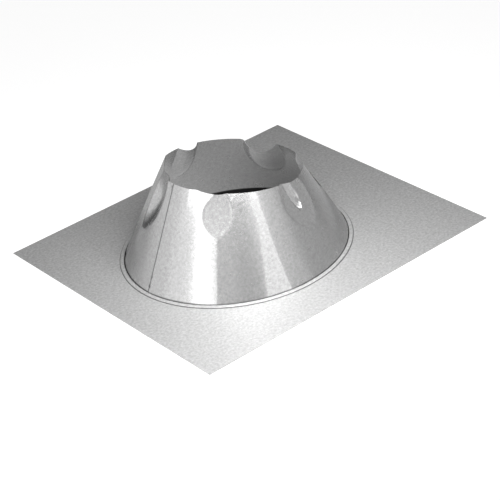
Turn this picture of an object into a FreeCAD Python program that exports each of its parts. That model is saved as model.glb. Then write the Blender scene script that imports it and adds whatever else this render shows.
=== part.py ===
"""Pipe flashing boot: a flat steel roof sheet with a leaning cone locked into its hole.

Millimetres, +Z up. The origin is the middle of the sheet on its underside.
+X is the long side of the sheet, and the cone leans towards it.
"""
import FreeCAD, Part
import math
import os

V = FreeCAD.Vector

# ---- sheet metal ----
sheet = 0.55              # thickness of the galvanised sheet in both pieces

# ---- roof sheet ----
plate_length = 610.0      # along X
plate_width = 547.0       # along Y

# ---- cone ----
cone_x = -30.0            # middle of the cone's foot
cone_y = -7.0
foot_length = 390.0       # outside of the wall where it meets the foot flange, along X
foot_width = 369.2        # the same along Y
rim_length = 245.0        # outside of the rim in plan, along X
rim_width = 230.8         # the same along Y
rim_height = 150.2        # middle of the rim above the roof
rim_offset = 9.2          # middle of the rim from the middle of the foot, towards +X
rim_fall = 8.83           # degrees that the rim drops towards +X

# ---- lock seam between the cone and the sheet ----
hem_gap = 0.55            # open space inside the folded flange
hem_width = 8.25          # from the foot of the wall to the outside of the folded flange
hem_return = 6.5          # length of the leaf folded back under
seam_play = 0.2           # between the folded flange and the collar round it
mouth_gap = 1.5           # between the collar's free edge and the wall of the cone
collar_bend = 0.9         # outside radius of the collar's fold
bend_steps = 3            # flats that make up the fold's round

# ---- lap seam of the rolled cone ----
lap_angle = 182.0         # where the outer leaf ends, seen from above
lap_width = 5.5           # degrees that the leaves overlap
lap_blend = 78.0          # degrees over which the outer leaf runs back into the round
tack_length = 6.0         # tack welds along the edge of the outer leaf
tack_radius = 1.2
tack_end = 1.2            # length of each drawn-out end
tack_inset = 9.0          # from the rim and from the foot

# ---- stand-off dents pressed into the rim by hand, no two quite alike ----
# angle, width, reach below the rim, depth, how far the rim is drawn down
dents = (
    (28.0, 70.0, 88.0, 20.0, 9.0),
    (91.5, 46.0, 80.0, 15.0, 0.6),
    (158.0, 74.0, 98.0, 19.0, 1.0),
    (219.5, 51.0, 74.0, 13.0, 3.5),
    (288.0, 51.0, 78.0, 13.0, 3.0),
    (336.0, 50.0, 74.0, 13.0, 5.0),
)
deepest_part = 1 / 3      # deepest point, as a part of the reach below the rim

# ---- flank beside the lap seam, pulled flat by its dent ----
flat_angle = 143.0        # middle of the flat
flat_depth = 9.4          # below the round at the rim
flat_fade = 3.2           # degrees that the flat leans out, so that it runs out down the wall

# ---- worked out ----
hem_height = 2 * sheet + hem_gap           # underside of the collar's top leaf
collar_height = hem_height + sheet
leaf_height = hem_height - sheet           # underside of the flange's upper leaf
lean = math.tan(math.radians(rim_fall))
slope = (foot_length - rim_length) / 2 / (rim_height - leaf_height)
wall_in_plan = sheet * math.hypot(1, slope)   # sheet thickness measured level
run_past = 1.0                             # how far the hollow is cut past foot and rim
reach = plate_length                       # longer than any cut has to be


def ellipse_point(length, width, angle, middle, fall=0.0):
    """Point of an ellipse round middle; fall tips it down towards +X."""
    x = length / 2 * math.cos(angle)
    y = width / 2 * math.sin(angle)
    return middle + V(x, y, -fall * x)


def foot_point(angle, grow=0.0):
    middle = V(cone_x, cone_y, leaf_height)
    return ellipse_point(foot_length + 2 * grow, foot_width + 2 * grow, angle, middle)


def rim_middle():
    return V(cone_x + rim_offset, cone_y, rim_height)


def rim_point(angle, grow=0.0):
    return ellipse_point(rim_length + 2 * grow, rim_width + 2 * grow, angle, rim_middle(), lean)


def ellipse_wire(length, width, middle, fall=0.0):
    """Closed ellipse that starts on its +X end, whichever way it is longer."""
    along = V(length / 2, 0, -fall * length / 2)
    across = V(0, width / 2, 0)
    if along.Length >= across.Length:
        return Part.Wire([Part.Ellipse(middle + along, middle + across, middle).toShape()])
    curve = Part.Ellipse(middle + across, middle - along, middle)
    return Part.Wire([curve.toShape(-math.pi / 2, 1.5 * math.pi)])


def elliptic_disc(length, width, low, high):
    """Upright elliptic prism round the cone's foot."""
    outline = ellipse_wire(length, width, V(cone_x, cone_y, low))
    return Part.Face(outline).extrude(V(0, 0, high - low))


def elliptic_ring(length, width, band, low, high):
    """Upright ring, band wide, inside the given outer size."""
    inner = elliptic_disc(length - 2 * band, width - 2 * band, low, high)
    return elliptic_disc(length, width, low, high).cut(inner)


def cone_core(grow=0.0, below=0.0, above=0.0):
    """Leaning cone from foot to rim as a solid, run on past either end where asked."""
    total = rim_height - leaf_height
    ends = []
    for part_way in (-below / total, 1 + above / total):
        length = foot_length + (rim_length - foot_length) * part_way + 2 * grow
        width = foot_width + (rim_width - foot_width) * part_way + 2 * grow
        middle = V(cone_x, cone_y, leaf_height) + V(rim_offset, 0, total) * part_way
        fall = lean * part_way * (rim_length + 2 * grow) / length
        ends.append(ellipse_wire(length, width, middle, fall))
    return Part.makeLoft(ends, True, True)


def wedge(start, end):
    """Upright slice of space round the cone's axis, between two angles in degrees."""
    steps = max(2, math.ceil((end - start) / 60))
    points = [V(cone_x, cone_y, -reach)]
    for step in range(steps + 1):
        turn = math.radians(start + (end - start) * step / steps)
        points.append(points[0] + V(math.cos(turn), math.sin(turn), 0) * reach)
    points.append(points[0])
    return Part.Face(Part.makePolygon(points)).extrude(V(0, 0, 2 * reach))


def sprung_core(grow, start, below=0.0, above=0.0):
    """Cone core whose stretch past the start angle stands out by one leaf."""
    core = cone_core(grow, below, above)
    outward = math.radians(lap_angle)
    moved = core.translated(V(math.cos(outward), math.sin(outward), 0) * wall_in_plan)
    leaf = moved.common(wedge(start, lap_angle + lap_blend))
    return core.fuse(leaf)


def wall_frame(angle):
    """Rim point, direction up the wall and outward normal at an angle round the rim."""
    top = rim_point(angle)
    up_wall = (top - foot_point(angle)).normalize()
    round_rim = (rim_point(angle + 0.01) - rim_point(angle - 0.01)).normalize()
    outward = round_rim.cross(up_wall).normalize()
    return top, up_wall, outward


def dent_tool(angle, width, reach_down, depth, grow=0.0):
    """Fat ring, on edge outside the wall, whose outer side presses an oval dent."""
    top, up_wall, outward = wall_frame(math.radians(angle))
    below = deepest_part * reach_down
    pressed = depth - width ** 2 / (4 * (rim_length + below))   # less the bulge of the round wall
    radius_across = (width ** 2 / 4 + pressed ** 2) / (2 * pressed)
    radius_along = ((reach_down - below) ** 2 + depth ** 2) / (2 * depth)
    middle = top - up_wall * below + outward * (radius_along - depth)
    ring_radius = radius_along - radius_across
    return Part.makeTorus(ring_radius, radius_across + grow, middle, up_wall.cross(outward))


def rim_dip_tool(angle, width, depth, drop):
    """Roller lying across the rim that draws it down where a dent is pressed."""
    turn = math.radians(angle)
    top = rim_point(turn)
    rim_up = V(lean, 0, 1).normalize()
    round_rim = (rim_point(turn + 0.01) - rim_point(turn - 0.01)).normalize()
    rim_out = round_rim.cross(rim_up)
    radius = (width ** 2 / 4 + drop ** 2) / (2 * drop)
    inner_end = top + rim_up * (radius - drop) - rim_out * 2 * depth
    return Part.makeCylinder(radius, 3 * depth, inner_end, rim_out)


def flat_tool(grow=0.0):
    """Block whose face flattens the wall beside the lap seam, most at the rim."""
    top, up_wall, outward = wall_frame(math.radians(flat_angle))
    across = up_wall.cross(outward)
    block = Part.makeBox(reach, reach, reach, V(-reach / 2, -reach / 2, 0))
    turn = FreeCAD.Rotation(across, up_wall, outward, "ZXY")
    lean_out = FreeCAD.Rotation(across, -flat_fade)
    face_middle = top - outward * (flat_depth + grow)
    block.Placement = FreeCAD.Placement(face_middle, lean_out.multiply(turn))
    return block


def tack_weld(up_from_foot):
    """Small dab of weld along the edge of the outer leaf, drawn out at both ends."""
    angle = math.radians(lap_angle)
    along = (rim_point(angle) - foot_point(angle)).normalize()
    middle = foot_point(angle) + along * up_from_foot
    body = tack_length - 2 * tack_end
    dab = Part.makeCylinder(tack_radius, body, middle - along * body / 2, along)
    for way in (-1, 1):
        end = middle + along * way * body / 2
        dab = dab.fuse(Part.makeCone(tack_radius, tack_radius / 2, tack_end, end, along * way))
    return dab


def collar_block(length, width):
    """Solid elliptic block under the collar's outside, with its top edge rounded."""
    rounds = [ellipse_wire(length, width, V(cone_x, cone_y, 0))]
    for step in range(bend_steps + 1):
        turn = math.pi / 2 * step / bend_steps
        inset = collar_bend * (1 - math.cos(turn))
        height = collar_height - collar_bend * (1 - math.sin(turn))
        rounds.append(ellipse_wire(length - 2 * inset, width - 2 * inset, V(cone_x, cone_y, height)))
    return Part.makeLoft(rounds, True, True)


def base_plate():
    """Flat sheet whose hole edge is turned up and folded inwards over the cone's flange."""
    lip = hem_width + seam_play + sheet
    collar_length = foot_length + 2 * lip
    collar_width = foot_width + 2 * lip
    inner_length = collar_length - 2 * sheet
    inner_width = collar_width - 2 * sheet
    plate = Part.makeBox(plate_length, plate_width, sheet, V(-plate_length / 2, -plate_width / 2, 0))
    plate = plate.cut(elliptic_disc(inner_length, inner_width, -sheet, 2 * sheet))
    collar = collar_block(collar_length, collar_width)
    collar = collar.cut(elliptic_disc(inner_length, inner_width, -sheet, hem_height))
    mouth = elliptic_disc(foot_length + 2 * mouth_gap, foot_width + 2 * mouth_gap, 0, 2 * collar_height)
    return plate.fuse(collar.cut(mouth)).removeSplitter()


def foot_flange():
    """Flange at the cone's foot, turned out and folded back under itself."""
    length = foot_length + 2 * hem_width
    width = foot_width + 2 * hem_width
    upper = elliptic_ring(length, width, hem_width + wall_in_plan, leaf_height, hem_height)
    bend = elliptic_ring(length, width, sheet, 0, hem_height)
    lower = elliptic_ring(length, width, hem_return, 0, sheet)
    return upper.fuse([bend, lower])


def cone():
    """One rolled sheet: lapped and tacked up the side, dented, flanged and hemmed at the foot."""
    outside = sprung_core(0.0, lap_angle).cut(flat_tool())
    inside = sprung_core(-wall_in_plan, lap_angle + lap_width, below=run_past, above=run_past)
    inside = inside.cut(flat_tool(sheet))
    for angle, width, reach_down, depth, _ in dents:
        outside = outside.cut(dent_tool(angle, width, reach_down, depth))
        inside = inside.cut(dent_tool(angle, width, reach_down, depth, sheet))
    for angle, width, _, depth, drop in dents:
        outside = outside.cut(rim_dip_tool(angle, width, depth, drop))
    slant = (rim_point(math.pi) - foot_point(math.pi)).Length
    for up_from_foot in (tack_inset, slant - tack_inset):
        outside = outside.fuse(tack_weld(up_from_foot))
    return outside.fuse(foot_flange()).cut(inside).removeSplitter()


os.makedirs("parts", exist_ok=True)
for name, shape in (("base_plate", base_plate()), ("cone", cone())):
    solids = shape.Solids
    print(name, "solids", len(solids), "valid", shape.isValid(), "volume", round(shape.Volume, 1))
    (solids[0] if len(solids) == 1 else shape).exportStep("parts/" + name + ".step")
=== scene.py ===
import bpy
import math
from mathutils import Matrix, Vector


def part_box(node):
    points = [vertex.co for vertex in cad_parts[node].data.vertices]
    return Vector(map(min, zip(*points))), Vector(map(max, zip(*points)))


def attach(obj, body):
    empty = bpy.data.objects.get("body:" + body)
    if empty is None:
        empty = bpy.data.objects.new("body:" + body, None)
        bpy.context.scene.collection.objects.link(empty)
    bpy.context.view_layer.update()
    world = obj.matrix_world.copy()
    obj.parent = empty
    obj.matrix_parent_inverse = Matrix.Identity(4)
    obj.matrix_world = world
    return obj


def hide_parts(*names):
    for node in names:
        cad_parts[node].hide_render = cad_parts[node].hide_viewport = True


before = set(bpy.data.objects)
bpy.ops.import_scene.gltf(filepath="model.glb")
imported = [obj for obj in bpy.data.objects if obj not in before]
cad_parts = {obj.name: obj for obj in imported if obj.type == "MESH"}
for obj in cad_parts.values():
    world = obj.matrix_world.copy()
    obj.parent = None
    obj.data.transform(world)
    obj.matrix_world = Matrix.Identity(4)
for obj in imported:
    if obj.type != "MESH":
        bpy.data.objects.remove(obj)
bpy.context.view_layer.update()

# ---- roof sheet ----
# The flat galvanised steel sheet that lies on the roof. The edge of its hole
# is turned up and folded inwards, as a collar that grips the cone's flange.
sheet = 0.00055
sheet_low, sheet_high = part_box("base_plate")
cone_low, cone_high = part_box("cone")
hem_width = 0.00825       # from the foot of the cone to the outside of its flange
hole_middle = Vector(((cone_low.x + cone_high.x) / 2, (cone_low.y + cone_high.y) / 2, 0))
foot_length = cone_high.x - cone_low.x - 2 * hem_width
foot_width = cone_high.y - cone_low.y - 2 * hem_width
round_steps = 400         # points round the hole
rows_to_hole = 24         # rows of faces between the sheet's edge and the hole
collar_bend = 0.0009      # middle of the metal round the collar's fold
collar_wall = 0.008725    # middle of the collar's wall, outside the foot of the cone
collar_top = 0.001925     # middle of the collar's top leaf
collar_rows = 4           # rows of faces across the collar's top leaf
bend_steps = 5
mouth_gap = 0.0022        # between the collar's free edge and the foot of the cone


def start_piece():
    """Leaves nothing selected before a new primitive is added."""
    if bpy.context.object and bpy.context.object.mode == "EDIT":
        bpy.ops.object.mode_set(mode="OBJECT")
    bpy.ops.object.select_all(action="DESELECT")


def take_up(piece):
    """Makes one piece the selected and active one."""
    bpy.ops.object.select_all(action="DESELECT")
    piece.select_set(True)
    bpy.context.view_layer.objects.active = piece


def pick_points(piece, wanted):
    """Selects the points of a piece by their place, in edit mode."""
    bpy.ops.object.mode_set(mode="EDIT")
    bpy.ops.mesh.select_mode(type="VERT")
    bpy.ops.mesh.select_all(action="DESELECT")
    bpy.ops.object.mode_set(mode="OBJECT")
    for vertex in piece.data.vertices:
        vertex.select = wanted(vertex.co)
    bpy.ops.object.mode_set(mode="EDIT")


def finish_piece(piece, name):
    """Applies the piece's place and gives it its name."""
    bpy.ops.object.mode_set(mode="OBJECT")
    take_up(piece)
    bpy.ops.object.transform_apply(location=True, rotation=True, scale=True)
    piece.name = name
    piece.data.name = name


def selected_size():
    """Length and width of what is selected in edit mode."""
    piece = bpy.context.edit_object
    piece.update_from_editmode()
    places = [v.co for v in piece.data.vertices if v.select]
    return (
        max(p.x for p in places) - min(p.x for p in places),
        max(p.y for p in places) - min(p.y for p in places),
    )


def size_loop(length, width, rise=0.0):
    """Resizes the selected loop in plan and lifts it."""
    now_long, now_wide = selected_size()
    bpy.ops.transform.resize(
        value=(length / now_long, width / now_wide, 1), center_override=hole_middle
    )
    bpy.ops.transform.translate(value=(0, 0, rise))


def fold_edge(outside_foot, height):
    """Draws the selected edge of the hole out to its next place in the fold."""
    piece = bpy.context.edit_object
    bpy.ops.mesh.extrude_region_move()
    piece.update_from_editmode()
    now = [v.co.z for v in piece.data.vertices if v.select]
    rise = height - sum(now) / len(now)
    size_loop(foot_length + 2 * outside_foot, foot_width + 2 * outside_foot, rise)


def give_thickness(piece, offset):
    """Gives the sheet its gauge; 0 grows both ways and -1 grows inwards."""
    metal = piece.modifiers.new("gauge", "SOLIDIFY")
    metal.thickness = sheet
    metal.offset = offset
    bpy.ops.object.modifier_apply(modifier=metal.name)


def on_hole_edge(place):
    """Tells the points on the edge of the hole from the rest of the sheet."""
    from_middle = place - hole_middle
    along = from_middle.x / (foot_length / 2 + collar_wall)
    across = from_middle.y / (foot_width / 2 + collar_wall)
    hair_outside = 1.0005
    return along ** 2 + across ** 2 < hair_outside


start_piece()
bpy.ops.mesh.primitive_plane_add(size=1)
roof_sheet = bpy.context.object
bpy.ops.object.mode_set(mode="EDIT")
bpy.ops.transform.resize(value=(sheet_high.x - sheet_low.x, sheet_high.y - sheet_low.y, 1))
bpy.ops.mesh.delete(type="ONLY_FACE")
bpy.ops.mesh.select_all(action="SELECT")
bpy.ops.mesh.subdivide(number_cuts=round_steps // 4 - 1)
bpy.ops.mesh.select_all(action="DESELECT")
bpy.ops.mesh.primitive_circle_add(vertices=round_steps, radius=0.5, location=hole_middle)
size_loop(foot_length + 2 * collar_wall, foot_width + 2 * collar_wall)
bpy.ops.mesh.select_all(action="SELECT")
bpy.ops.mesh.bridge_edge_loops(number_cuts=rows_to_hole, interpolation="LINEAR")
bpy.ops.transform.translate(value=(0, 0, sheet / 2))
pick_points(roof_sheet, on_hole_edge)
fold_edge(collar_wall, collar_top - collar_bend)
for step in range(1, bend_steps + 1):
    turn = math.pi / 2 * step / bend_steps
    fold_edge(
        collar_wall - collar_bend * (1 - math.cos(turn)),
        collar_top - collar_bend * (1 - math.sin(turn)),
    )
leaf_start = collar_wall - collar_bend
for row in range(1, collar_rows + 1):
    fold_edge(leaf_start - (leaf_start - mouth_gap) * row / collar_rows, collar_top)
bpy.ops.mesh.select_all(action="SELECT")
bpy.ops.mesh.normals_make_consistent(inside=False)
bpy.ops.object.mode_set(mode="OBJECT")
if max(roof_sheet.data.polygons, key=lambda face: face.center.x).normal.z < 0:
    roof_sheet.data.flip_normals()
finish_piece(roof_sheet, "galvanised_roof_sheet")
give_thickness(roof_sheet, 0.0)
bpy.ops.object.shade_smooth_by_angle(angle=math.radians(35))

# ---- galvanised finish ----
# Both pieces are cut from bare hot-dipped sheet: a soft grey metal with a fine
# mottled spangle, and painted shade in the folds and along the lap seam.
spangle_fineness = 260.0
mottle_fineness = 230.0
sheen_change = 0.028      # how far the gloss goes up and down from spangle to spangle
surface_relief = 0.03


def work_out(nodes, links, operation, first, second=0.0):
    """One sum in a material, on an output and either an output or a number."""
    step = nodes.new("ShaderNodeMath")
    step.operation = operation
    links.new(first, step.inputs[0])
    if isinstance(second, bpy.types.NodeSocket):
        links.new(second, step.inputs[1])
    else:
        step.inputs[1].default_value = second
    return step.outputs[0]


def grey(tone):
    """A plain grey as a colour."""
    return (tone, tone, tone, 1)


def galvanised(name, tone, grain, metal_share, gloss, painted_shade_of):
    """Bare galvanised steel, dull or bright, with painted shade multiplied into its colour
    at the places that the last argument gives.
    """
    metal = bpy.data.materials.new(name)
    metal.use_nodes = True
    nodes, links = metal.node_tree.nodes, metal.node_tree.links
    surface = nodes["Principled BSDF"]
    surface.inputs["Metallic"].default_value = metal_share
    place = nodes.new("ShaderNodeTexCoord").outputs["Object"]
    spangle = nodes.new("ShaderNodeTexVoronoi")
    spangle.inputs["Scale"].default_value = spangle_fineness
    mottle = nodes.new("ShaderNodeTexNoise")
    mottle.inputs["Scale"].default_value = mottle_fineness
    mottle.inputs["Detail"].default_value = 5.0
    mottle.inputs["Roughness"].default_value = 0.7
    links.new(place, spangle.inputs["Vector"])
    links.new(place, mottle.inputs["Vector"])
    shades = nodes.new("ShaderNodeValToRGB")
    dark_end, light_end = shades.color_ramp.elements
    dark_end.position, dark_end.color = 0.3, grey(tone - grain)
    light_end.position, light_end.color = 0.7, grey(tone + grain)
    links.new(mottle.outputs["Fac"], shades.inputs["Fac"])
    shade = shades.outputs["Color"]
    # painted shade: each factor darkens the colour where shade falls in a fold, a corner
    # or the lap seam
    for unshaded_part in painted_shade_of(nodes, links, place):
        shade_mix = nodes.new("ShaderNodeMix")
        shade_mix.data_type = "RGBA"
        shade_mix.blend_type = "MULTIPLY"
        shade_mix.inputs["Factor"].default_value = 1.0
        links.new(shade, shade_mix.inputs["A"])
        links.new(unshaded_part, shade_mix.inputs["B"])
        shade = shade_mix.outputs["Result"]
    links.new(shade, surface.inputs["Base Color"])
    sheen = nodes.new("ShaderNodeMapRange")
    sheen.inputs["To Min"].default_value = gloss - sheen_change
    sheen.inputs["To Max"].default_value = gloss + sheen_change
    links.new(spangle.outputs["Color"], sheen.inputs["Value"])
    links.new(sheen.outputs["Result"], surface.inputs["Roughness"])
    bump = nodes.new("ShaderNodeBump")
    bump.inputs["Strength"].default_value = surface_relief
    bump.inputs["Distance"].default_value = 0.001
    links.new(mottle.outputs["Fac"], bump.inputs["Height"])
    links.new(bump.outputs["Normal"], surface.inputs["Normal"])
    return metal


def shade_falloff(nodes, links, distance, reach, depth):
    """Painted shade: dark at no distance, none past its reach."""
    fade = nodes.new("ShaderNodeMapRange")
    fade.interpolation_type = "SMOOTHSTEP"
    fade.inputs["From Max"].default_value = reach
    fade.inputs["To Min"].default_value = 1 - depth
    fade.inputs["To Max"].default_value = 1.0
    links.new(distance, fade.inputs["Value"])
    return fade.outputs["Result"]


def ellipse_line(nodes, links, place, outside_foot, reach, depth):
    """Painted shade along an oval line round the cone's foot."""
    half_long, half_wide = foot_length / 2 + outside_foot, foot_width / 2 + outside_foot
    flat = nodes.new("ShaderNodeMapping")
    flat.vector_type = "POINT"
    flat.inputs["Location"].default_value = (
        -hole_middle.x / half_long, -hole_middle.y / half_wide, 0
    )
    flat.inputs["Scale"].default_value = (1 / half_long, 1 / half_wide, 0)
    links.new(place, flat.inputs["Vector"])
    out = nodes.new("ShaderNodeVectorMath")
    out.operation = "LENGTH"
    links.new(flat.outputs["Vector"], out.inputs[0])
    away = work_out(nodes, links, "SUBTRACT", out.outputs["Value"], 1.0)
    either_side = work_out(nodes, links, "ABSOLUTE", away)
    return shade_falloff(nodes, links, either_side, reach / half_long, depth)


def collar_painted_shade(nodes, links, place):
    """Painted shade in the corner at the collar's foot and in the gap at its free edge."""
    return [
        # painted shade: a dark line where shade falls at the collar's foot, and one in the
        # gap at its mouth
        ellipse_line(nodes, links, place, collar_wall + sheet, reach=0.0012, depth=0.75),
        ellipse_line(nodes, links, place, mouth_gap - sheet, reach=0.0016, depth=0.7),
    ]


roof_sheet.data.materials.clear()
roof_sheet.data.materials.append(galvanised(
    "roof_sheet_metal", tone=0.54, grain=0.13, metal_share=0.55, gloss=0.55,
    painted_shade_of=collar_painted_shade,
))
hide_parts("base_plate")
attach(roof_sheet, "root")

# ---- cone ----
# One galvanised blank, rolled with its ends lapped and tacked. Its rim is
# dented in by hand as stand-offs, and its foot is turned out and hemmed.
rim_length = 0.245
rim_width = 0.2308
rim_height = 0.1502
rim_offset = 0.0092       # middle of the rim from the middle of the foot
rim_fall = math.radians(8.83)
hem_height = 0.00165
lap_angle = 182.0         # where the outer leaf of the lap seam ends
lap_width = 5.5           # degrees that the leaves overlap
lap_blend = 78.0          # degrees over which the outer leaf runs back into the round
lap_step = 1.15 * sheet   # how far the outer leaf stands out
wall_steps = 540
wall_rows = 72
foot_spread = 0.0015      # how far the foot of the wall is sprung out
rim_curl = 0.0001         # how far the edge of the rim is bent in
curl_height = 0.012       # how far below the rim that starts
# soft bends down the wall: angle at the foot, angle at the rim, degrees that the
# metal turns on the left and right, degrees over which each turn fades
creases = (
    (182.0, 182.0, 3.0, 3.5, 12.0, 14.0),
    (222.6, 222.6, 4.0, 3.0, 14.0, 10.0),
    (260.0, 252.0, 0.6, 3.5, 9.0, 12.0),
)
# a narrow flat beside the last crease: where it starts at the foot and the rim
flat_start_foot = 247.0
flat_start_rim = 250.5
# the upper wall runs straight from the lap seam to the front
straight_start = 198.0
straight_end = 224.0
straight_from = 0.45      # part of the way up the wall
# the flank beside the lap seam is pulled flat
pulled_angle = 143.0
pulled_depth = 0.0094
pulled_fade = math.radians(3.2)
flat_press = 0.012        # farthest that a flat former presses


def foot_place(turn):
    """Point on the outside of the wall's foot, at an angle round the cone."""
    out = Vector((foot_length / 2 * math.cos(turn), foot_width / 2 * math.sin(turn), 0))
    return hole_middle + out + Vector((0, 0, hem_height))


def rim_place(turn):
    """Point on the outside of the rim, which drops towards +X."""
    along = rim_length / 2 * math.cos(turn)
    out = Vector((along, rim_width / 2 * math.sin(turn), -math.tan(rim_fall) * along))
    return hole_middle + Vector((rim_offset, 0, rim_height)) + out


def wall_frame(angle):
    """Rim point, direction up the wall and outward normal at an angle."""
    turn, small_turn = math.radians(angle), 0.01
    top = rim_place(turn)
    up_wall = (top - foot_place(turn)).normalized()
    round_rim = (rim_place(turn + small_turn) - rim_place(turn - small_turn)).normalized()
    return top, up_wall, round_rim.cross(up_wall).normalized()


def place_on_wall(place):
    """Angle round the cone in degrees, and part of the way from foot to rim."""
    part_way = place.z / rim_height
    for _ in range(4):
        half_long = (foot_length + (rim_length - foot_length) * part_way) / 2
        half_wide = (foot_width + (rim_width - foot_width) * part_way) / 2
        along = (place.x - hole_middle.x - rim_offset * part_way) / half_long
        across = (place.y - hole_middle.y) / half_wide
        turn = math.atan2(across, along)
        rim_at = rim_height - math.tan(rim_fall) * rim_length / 2 * math.cos(turn)
        part_way = (place.z - hem_height) / (rim_at - hem_height)
    return math.degrees(turn) % 360, part_way


def flat_inset(angle, start, end, radius):
    """How far a flat between two angles lies inside the round wall."""
    half = math.radians(end - start) / 2
    off_middle = math.radians(angle - start) - half
    return radius * (1 - math.cos(half) / math.cos(off_middle))


def wall_inset(angle, part_way):
    """How far the wall lies inside the true cone at a place."""
    radius = (foot_length * (1 - part_way) + rim_length * part_way) / 2
    inset = -foot_spread * (1 - part_way)
    for foot_angle, rim_angle, left_turn, right_turn, left_fade, right_fade in creases:
        crease_angle = foot_angle + (rim_angle - foot_angle) * part_way
        away = (angle - crease_angle + 180) % 360 - 180
        bent, fade = (left_turn, left_fade) if away < 0 else (right_turn, right_fade)
        arc = radius * math.radians(abs(away))
        inset += math.tan(math.radians(bent)) * arc * math.exp(-abs(away) / fade)
    if straight_start < angle < straight_end and part_way > straight_from:
        straightened = ((part_way - straight_from) / (1 - straight_from)) ** 2
        inset += straightened * flat_inset(angle, straight_start, straight_end, radius)
    flat_start = flat_start_foot + (flat_start_rim - flat_start_foot) * part_way
    flat_end = creases[-1][0] + (creases[-1][1] - creases[-1][0]) * part_way
    if flat_start < angle < flat_end:
        inset += flat_inset(angle, flat_start, flat_end, radius)
    below_rim = (1 - part_way) * rim_height
    return inset + rim_curl * max(0.0, 1 - below_rim / curl_height) ** 2


def set_former(middle, across, up, out):
    """Stands the new former at its place, facing along its third direction."""
    former = bpy.context.object
    turned = Matrix((across, up, out)).transposed()
    former.matrix_world = Matrix.Translation(middle) @ turned.to_4x4()
    bpy.context.view_layer.update()
    return former


def press_on(piece, former, farthest):
    """Presses the sheet inwards against a former, which is then taken away."""
    take_up(piece)
    press = piece.modifiers.new("press", "SHRINKWRAP")
    press.target = former
    press.wrap_method = "PROJECT"
    press.use_positive_direction = False
    press.use_negative_direction = True
    press.project_limit = farthest
    bpy.ops.object.modifier_apply(modifier=press.name)
    bpy.data.objects.remove(former)


start_piece()
bpy.ops.mesh.primitive_plane_add(size=1)
cone = bpy.context.object
pick_points(cone, lambda place: place.x > 0)
bpy.ops.mesh.delete(type="VERT")
bpy.ops.object.mode_set(mode="OBJECT")
cone.data.vertices[0].co = (foot_length / 2, 0, 0)
cone.data.vertices[1].co = (rim_length / 2, 0, rim_height)
bpy.ops.object.mode_set(mode="EDIT")
bpy.ops.mesh.select_all(action="SELECT")
rolled = math.radians(360 + lap_width)
bpy.ops.mesh.spin(steps=wall_steps, angle=-rolled, center=(0, 0, 0), axis=(0, 0, 1))
bpy.ops.object.mode_set(mode="OBJECT")
lap_turn = math.radians(lap_angle)
lap_out = Vector((math.cos(lap_turn), math.sin(lap_turn), 0))
for vertex in cone.data.vertices:
    rolled_by = math.degrees(rolled) * (vertex.index // 2) / wall_steps
    turn = math.radians(lap_angle + rolled_by)
    vertex.co = (foot_place, rim_place)[vertex.index % 2](turn)
    vertex.co += lap_out * lap_step * max(0.0, 1 - rolled_by / lap_blend)
bpy.ops.object.mode_set(mode="EDIT")
bpy.ops.mesh.select_mode(type="EDGE")
bpy.ops.mesh.select_all(action="DESELECT")
bpy.ops.object.mode_set(mode="OBJECT")
for edge in cone.data.edges:
    one_end, other_end = (cone.data.vertices[i].co.z for i in edge.vertices)
    edge.select = abs(one_end - other_end) > rim_height / 2
bpy.ops.object.mode_set(mode="EDIT")
bpy.ops.mesh.subdivide(number_cuts=wall_rows)
bpy.ops.mesh.select_all(action="SELECT")
bpy.ops.mesh.normals_make_consistent(inside=False)
bpy.ops.object.mode_set(mode="OBJECT")
if max(cone.data.polygons, key=lambda face: face.center.x).normal.x < 0:
    cone.data.flip_normals()
for vertex in cone.data.vertices:
    angle, part_way = place_on_wall(vertex.co)
    turn = math.radians(angle)
    vertex.co -= Vector((math.cos(turn), math.sin(turn), 0)) * wall_inset(angle, part_way)

top, up_wall, outward = wall_frame(pulled_angle)
across_wall = up_wall.cross(outward)
leaned = Matrix.Rotation(-pulled_fade, 3, across_wall)
start_piece()
bpy.ops.mesh.primitive_plane_add(size=0.6)
former = set_former(
    top - outward * pulled_depth, across_wall, leaned @ up_wall, leaned @ outward
)
press_on(cone, former, flat_press)

# stand-off dents: angle, width, reach below the rim, depth, how far the rim is
# drawn down
dents = (
    (28.0, 0.070, 0.088, 0.020, 0.0090),
    (91.5, 0.046, 0.080, 0.015, 0.0006),
    (158.0, 0.074, 0.098, 0.019, 0.0010),
    (336.0, 0.050, 0.074, 0.013, 0.0050),
)
deepest_part = 1 / 3      # deepest point of a dent, as a part of its reach
dent_press = 1.6          # farthest that a dent is pressed, in depths
# the two dents in front are shallow, and flat from side to side: angle, degrees
# turned away from the wall, middle below the rim, half length, depth, how far the
# rim is drawn down, step round the edge
dimples = (
    (216.8, 2.2, 0.0275, 0.0410, 0.0033, 0.0035, 0.00030),
    (291.5, -7.0, 0.0300, 0.0440, 0.0028, 0.0030, 0.00080),
)
dimple_rim = 0.025        # half the length of rim that is drawn down at one
dimple_press = 3.0        # the same for a shallow one
# a fold in the second dimple, pressed with an oval former larger than itself
fold_angle = 283.5
fold_turn = math.radians(-32.0)
fold_width = 0.020
fold_length = 0.044
fold_depth = 0.0066
tip_aside = fold_width / 5    # how far the fold's tip lies beside its middle
former_wider, former_longer = 1.2, 2.3


def draw_rim_down(top, up_wall, drop, half_width):
    """Draws the metal round a dent's place on the rim down along the wall."""
    for vertex in cone.data.vertices:
        far = (vertex.co - top).length / half_width
        if far < 1:
            vertex.co -= up_wall * drop * (1 - far ** 2)


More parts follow.
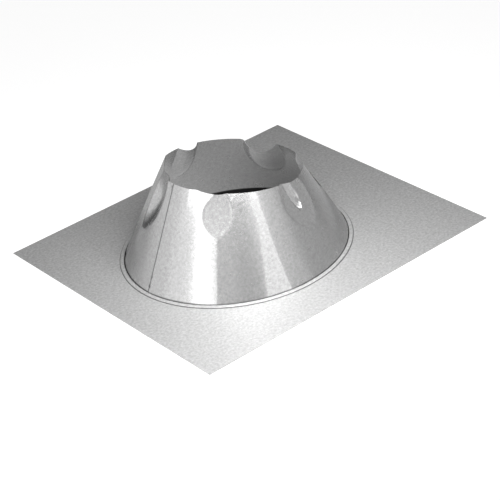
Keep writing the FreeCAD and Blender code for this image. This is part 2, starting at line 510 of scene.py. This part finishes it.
for angle, width, reach_down, depth, drop in dents:
    top, up_wall, outward = wall_frame(angle)
    draw_rim_down(top, up_wall, drop, width / 2)
    below = deepest_part * reach_down
    pressed = depth - width ** 2 / (4 * (rim_length + below))
    radius_across = (width ** 2 / 4 + pressed ** 2) / (2 * pressed)
    radius_along = ((reach_down - below) ** 2 + depth ** 2) / (2 * depth)
    start_piece()
    bpy.ops.mesh.primitive_torus_add(
        major_segments=360, minor_segments=120,
        major_radius=radius_along - radius_across, minor_radius=radius_across,
    )
    middle = top - up_wall * below + outward * (radius_along - depth)
    former = set_former(middle, outward, up_wall, outward.cross(up_wall))
    press_on(cone, former, dent_press * depth)

for angle, turned_by, below, half_length, depth, drop, edge_step in dimples:
    top, up_wall, outward = wall_frame(angle)
    outward = Matrix.Rotation(math.radians(turned_by), 3, up_wall) @ outward
    draw_rim_down(top, up_wall, drop, dimple_rim)
    radius_along = (half_length ** 2 + depth ** 2) / (2 * depth)
    start_piece()
    bpy.ops.mesh.primitive_cylinder_add(
        vertices=6000, radius=radius_along, depth=0.12, end_fill_type="NOTHING",
    )
    middle = top - up_wall * below + outward * (radius_along - depth)
    former = set_former(middle, outward, up_wall, outward.cross(up_wall))
    unpressed = [vertex.co.copy() for vertex in cone.data.vertices]
    press_on(cone, former, dimple_press * depth)
    for vertex, before in zip(cone.data.vertices, unpressed):
        vertex.co -= outward * min(edge_step, (vertex.co - before).length)

top, up_wall, outward = wall_frame(fold_angle)
fold_out = Matrix.Rotation(fold_turn, 3, up_wall) @ outward
fold_across = up_wall.cross(fold_out)
fold_tilt = math.atan2(fold_depth - tip_aside * math.sin(fold_turn), fold_length)
fold_up = Matrix.Rotation(fold_tilt, 3, fold_across) @ up_wall
fold_out = fold_across.cross(fold_up)
start_piece()
bpy.ops.mesh.primitive_circle_add(vertices=64, radius=0.5, fill_type="NGON")
bpy.ops.object.mode_set(mode="EDIT")
bpy.ops.transform.resize(
    value=(former_wider * fold_width, former_longer * fold_length, 1)
)
bpy.ops.object.mode_set(mode="OBJECT")
former = set_former(top - outward * fold_depth, fold_across, fold_up, fold_out)
press_on(cone, former, flat_press)

take_up(cone)
soften = cone.modifiers.new("soften", "CORRECTIVE_SMOOTH")
soften.use_only_smooth = True
soften.use_pin_boundary = True
soften.factor = 0.5
soften.iterations = 1
bpy.ops.object.modifier_apply(modifier=soften.name)

# the foot is turned out flat and folded down inside the collar of the roof sheet,
# which holds the two together without a fastener
flange_bend = 0.0004      # cut off the outer corner of the fold
flange_middle = 0.004     # a row of points half way out
foot_hair = 0.00005       # how far above the foot a point still counts as on it
pick_points(cone, lambda place: place.z < hem_height + foot_hair)
fold_edge(flange_middle, hem_height)
fold_edge(hem_width - sheet, hem_height)
fold_edge(hem_width, hem_height - flange_bend)
fold_edge(hem_width, flange_bend)
bpy.ops.object.mode_set(mode="OBJECT")
finish_piece(cone, "dented_cone")
give_thickness(cone, -1.0)
bpy.ops.object.shade_smooth_by_angle(angle=math.radians(40))

# two small tack welds hold the end of the outer leaf, near the foot and the rim
tack_radius = 0.0012
tack_length = 0.006
tack_inset = 0.009        # from the foot and from the rim
seam_foot, seam_rim = foot_place(lap_turn), rim_place(lap_turn)
up_seam = (seam_rim - seam_foot).normalized()
start_piece()
for place in (seam_foot + up_seam * tack_inset, seam_rim - up_seam * tack_inset):
    bpy.ops.mesh.primitive_uv_sphere_add(segments=24, ring_count=16, radius=tack_radius)
    tack = bpy.context.object
    bpy.ops.transform.resize(value=(1, 1, tack_length / 2 / tack_radius))
    bpy.ops.object.transform_apply(location=False, rotation=False, scale=True)
    leaned = up_seam.to_track_quat("Z", "Y").to_matrix().to_4x4()
    tack.matrix_world = Matrix.Translation(place) @ leaned
    bpy.ops.object.transform_apply(location=True, rotation=True, scale=True)
    bpy.ops.object.shade_smooth()
    take_up(cone)
    tack.select_set(True)
    bpy.ops.object.join()
# spots of painted shade: angle, below the rim, size, depth
painted_shade_spots = (
    (219.0, 0.008, 0.0030, 0.35),
    (221.5, 0.014, 0.0026, 0.45),
    (180.8, 0.005, 0.0040, 0.50),
    (182.0, 0.176, 0.0050, 0.70),
    (182.3, 0.160, 0.0040, 0.60),
)


def cone_painted_shade(nodes, links, place):
    """Painted shade in the corner at the foot, along the lap seam and in spots round the
    tacks and the front dimple.
    """
    apart = nodes.new("ShaderNodeSeparateXYZ")
    links.new(place, apart.inputs[0])
    # painted shade in the corner where the wall meets its turned-out foot
    above_foot = work_out(nodes, links, "SUBTRACT", apart.outputs["Z"], hem_height)
    unshaded_parts = [shade_falloff(nodes, links, above_foot, reach=0.0022, depth=0.65)]
    # painted shade: a dark line along the step of the lap seam, only on the half of the
    # cone that holds the seam
    across_seam = Vector((-up_seam.y, up_seam.x, 0)).normalized()
    across = nodes.new("ShaderNodeVectorMath")
    across.operation = "DOT_PRODUCT"
    across.inputs[1].default_value = across_seam
    links.new(place, across.inputs[0])
    seam_line = across_seam.dot(seam_foot)
    beside = work_out(nodes, links, "SUBTRACT", across.outputs["Value"], seam_line)
    from_seam = work_out(nodes, links, "ABSOLUTE", beside)
    far_half = work_out(nodes, links, "GREATER_THAN", apart.outputs["X"], hole_middle.x)
    from_seam = work_out(nodes, links, "ADD", from_seam, far_half)
    unshaded_parts.append(shade_falloff(nodes, links, from_seam, reach=0.0022, depth=0.85))
    # painted shade in spots at the top of the front dimple, by the upper tack, round the
    # lower tack and in the gap at the foot of the lap seam
    for angle, below, size, depth in painted_shade_spots:
        top, up_wall, outward = wall_frame(angle)
        from_spot = nodes.new("ShaderNodeVectorMath")
        from_spot.operation = "DISTANCE"
        from_spot.inputs[1].default_value = top - up_wall * below
        links.new(place, from_spot.inputs[0])
        unshaded_parts.append(shade_falloff(nodes, links, from_spot.outputs["Value"], size, depth))
    return unshaded_parts


cone.data.materials.clear()
cone.data.materials.append(galvanised(
    "cone_sheet_metal", tone=0.38, grain=0.06, metal_share=0.80, gloss=0.25,
    painted_shade_of=cone_painted_shade,
))
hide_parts("cone")
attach(cone, "root")

# ---- floor and backdrop ----
# A pale paper floor and a white studio all round. A dark card lies under the
# opening of the cone as painted shade and glows in the metal as a painted reflection;
# plain cards that only the metal sees stand round it.
floor_below = 0.0005
card_below = 0.0003
card_past_foot = 0.010
studio_fill = 0.08        # light that the white studio throws on the part
card_left = math.radians(143)    # the dark card's painted reflection is lighter to this side
card_half = 0.2           # from the middle of the dark card to its left and right
card_right_light = 0.30
card_left_light = 0.80


def plain_paper(name, tone, seen_light, mirrored_light=0.0):
    """Paper that glows a little to the camera and in the metal, and takes shadows."""
    paper = bpy.data.materials.new(name)
    paper.use_nodes = True
    nodes, links = paper.node_tree.nodes, paper.node_tree.links
    surface = nodes["Principled BSDF"]
    surface.inputs["Base Color"].default_value = grey(tone)
    surface.inputs["Roughness"].default_value = 0.9
    surface.inputs["Specular IOR Level"].default_value = 0.0
    surface.inputs["Emission Color"].default_value = grey(1)
    rays = nodes.new("ShaderNodeLightPath")
    glow = work_out(nodes, links, "MULTIPLY", rays.outputs["Is Camera Ray"], seen_light)
    shine = nodes.new("ShaderNodeMath")
    shine.operation = "MULTIPLY_ADD"
    shine.name = "mirrored_light"
    shine.inputs[1].default_value = mirrored_light
    links.new(rays.outputs["Is Glossy Ray"], shine.inputs[0])
    links.new(glow, shine.inputs[2])
    links.new(shine.outputs[0], surface.inputs["Emission Strength"])
    return paper


start_piece()
bpy.ops.mesh.primitive_plane_add(size=14, location=(0, 0, -floor_below))
floor = bpy.context.object
floor.name = "pale_floor"
floor.data.materials.append(plain_paper("pale_floor_paper", 0.35, 0.88, 0.40))

# painted shade: a near-black card under the opening darkens what is seen through the foot
# of the cone
start_piece()
bpy.ops.mesh.primitive_circle_add(
    vertices=96, radius=0.5, fill_type="NGON",
    location=hole_middle - Vector((0, 0, card_below)),
)
bpy.ops.transform.resize(
    value=(foot_length + 2 * card_past_foot, foot_width + 2 * card_past_foot, 1)
)
dark_card = bpy.context.object
dark_card.name = "dark_card"
shade_card_paper = plain_paper("dark_card_paper", 0.012, 0.0)
dark_card.data.materials.append(shade_card_paper)
nodes, links = shade_card_paper.node_tree.nodes, shade_card_paper.node_tree.links
# painted reflection: the card glows for reflections only, brighter to the left, to shade
# the cone's inner wall
to_left = nodes.new("ShaderNodeVectorMath")
to_left.operation = "DOT_PRODUCT"
to_left.inputs[1].default_value = (math.cos(card_left), math.sin(card_left), 0)
links.new(nodes.new("ShaderNodeTexCoord").outputs["Object"], to_left.inputs[0])
shaded = nodes.new("ShaderNodeMapRange")
shaded.inputs["From Min"].default_value = -card_half
shaded.inputs["From Max"].default_value = card_half
shaded.inputs["To Min"].default_value = card_right_light
shaded.inputs["To Max"].default_value = card_left_light
links.new(to_left.outputs["Value"], shaded.inputs["Value"])
links.new(shaded.outputs["Result"], nodes["mirrored_light"].inputs[1])

world = bpy.data.worlds.new("white_studio")
bpy.context.scene.world = world
world.use_nodes = True
nodes, links = world.node_tree.nodes, world.node_tree.links
rays = nodes.new("ShaderNodeLightPath")
seen = work_out(
    nodes, links, "MAXIMUM", rays.outputs["Is Camera Ray"], rays.outputs["Is Glossy Ray"]
)
level = nodes.new("ShaderNodeMapRange")
level.inputs["To Min"].default_value = studio_fill
level.inputs["To Max"].default_value = 1.0
links.new(seen, level.inputs["Value"])
links.new(level.outputs["Result"], nodes["Background"].inputs["Strength"])
nodes["Background"].inputs["Color"].default_value = grey(1)


def toward(azimuth, elevation):
    """Direction from the part, in degrees."""
    az, el = math.radians(azimuth), math.radians(elevation)
    return Vector((math.cos(az) * math.cos(el), math.sin(az) * math.cos(el), math.sin(el)))


def stand_card(name, azimuth, elevation, distance, width, height, tone):
    """Plain card that only the metal sees."""
    start_piece()
    bpy.ops.mesh.primitive_plane_add(size=1)
    card = bpy.context.object
    card.name = name
    card.scale = (width, height, 1)
    aim = toward(azimuth, elevation)
    card.location = aim * distance
    card.rotation_euler = aim.to_track_quat("Z", "Y").to_euler()
    paper = bpy.data.materials.new(name + "_paper")
    paper.use_nodes = True
    surface = paper.node_tree.nodes["Principled BSDF"]
    surface.inputs["Base Color"].default_value = grey(0)
    surface.inputs["Specular IOR Level"].default_value = 0.0
    surface.inputs["Emission Color"].default_value = grey(tone)
    surface.inputs["Emission Strength"].default_value = 1.0
    card.data.materials.append(paper)
    card.visible_camera = False
    card.visible_diffuse = False
    card.visible_shadow = False


# azimuth, elevation, distance, width, height, tone
stand_card("back_card", 52, 28, 2.0, 6.4, 3.4, 0.03)
stand_card("right_card", 334, 14, 2.5, 3.0, 2.0, 0.54)
stand_card("dark_card_right", 2, 4, 2.2, 1.3, 1.8, 0.0)
stand_card("front_card", 246, 20, 2.6, 1.0, 1.6, 0.70)

# ---- studio lamps ----
# Large soft boxes to the left and right draw the light bands on the cone, and a
# small one close above the front lights the sheet and fades towards its back.
lamp_aim = Vector((0, 0, 0.08))


def stand_lamp(name, azimuth, elevation, distance, width, height, radiance):
    """Soft box aimed at the part from a direction in degrees."""
    start_piece()
    bpy.ops.object.light_add(type="AREA")
    lamp = bpy.context.object
    lamp.name = name
    lamp.data.shape = "RECTANGLE"
    lamp.data.size = width
    lamp.data.size_y = height
    lamp.data.energy = radiance * math.pi * width * height
    aim = toward(azimuth, elevation)
    lamp.location = aim * distance + lamp_aim
    lamp.rotation_euler = aim.to_track_quat("Z", "Y").to_euler()
    lamp.visible_camera = False


# azimuth, elevation, distance, width, height, radiance
stand_lamp("left_softbox", 134, 18, 2.2, 2.2, 1.6, 0.40)
stand_lamp("left_fill", 175, 18, 2.2, 1.0, 1.6, 0.85)
stand_lamp("left_strip", 198, 18, 2.2, 0.65, 1.8, 3.2)
stand_lamp("right_strip", 273, 21, 2.2, 0.55, 2.2, 1.45)
stand_lamp("front_softbox", 250, 51, 0.58, 0.42, 0.42, 11.6)

# ---- camera ----
# Looks down at the part from its near left, rolled a little, from about five
# lengths of the roof sheet away.
view_azimuth, view_elevation = -126.4486, 30.9384
view_roll = math.radians(-7.0345)
view_back, view_right, view_up = 4.9922, 0.0071, -0.0397    # in lengths of the sheet
lens = 127.58

start_piece()
bpy.ops.object.camera_add()
camera = bpy.context.object
back = toward(view_azimuth, view_elevation)
level_right = Vector((-back.y, back.x, 0)).normalized()
level_up = back.cross(level_right)
right = math.cos(view_roll) * level_right + math.sin(view_roll) * level_up
up = -math.sin(view_roll) * level_right + math.cos(view_roll) * level_up
sheet_long = sheet_high.x - sheet_low.x
seat = sheet_long * (view_back * back + view_right * right + view_up * up)
facing = Matrix((right, up, back)).transposed().to_4x4()
camera.matrix_world = Matrix.Translation(seat) @ facing
camera.data.lens = lens
bpy.context.scene.camera = camera
bpy.context.scene.view_settings.view_transform = "Standard"
